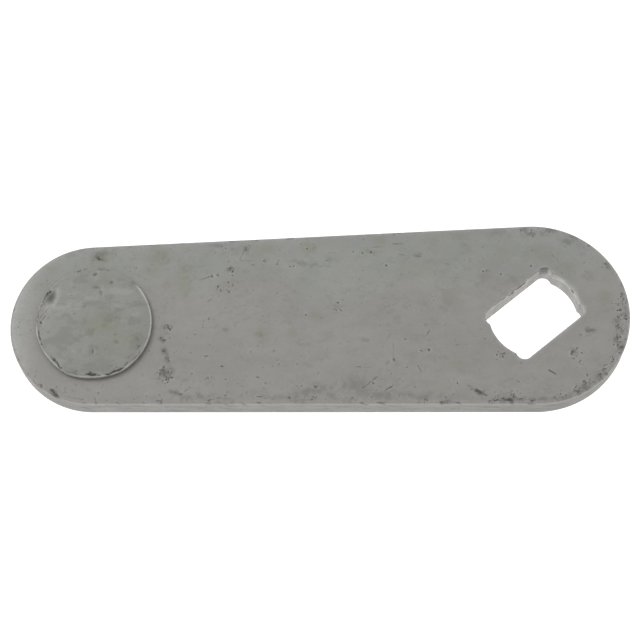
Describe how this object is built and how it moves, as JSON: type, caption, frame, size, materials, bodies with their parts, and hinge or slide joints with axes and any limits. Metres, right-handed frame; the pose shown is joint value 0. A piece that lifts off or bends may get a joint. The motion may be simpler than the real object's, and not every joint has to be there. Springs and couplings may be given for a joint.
{
  "type": "crank arm",
  "caption": "Flat tapered steel crank arm with full-round ends, a double-D drive hole at the wide end and a riveted crank pin with a low round head at the narrow end.",
  "frame": {"origin": "on the axis of the double-D drive hole, in the plane of the plate's back face", "axes": "+X from the crank pin to the drive hole, +Z out of the front face, where the rivet head stands, +Y completes the right-handed frame"},
  "size_m": [0.1307, 0.04, 0.0212],
  "materials": {
    "bar_steel": "dull grey, blasted, with fine pits and scratches",
    "pin_steel": "dull grey, riveted head with flow marks; turned journal"
  },
  "bodies": {
    "root": {"arm_plate": "bar_steel", "crank_pin": "pin_steel"}
  },
  "joints": []
}
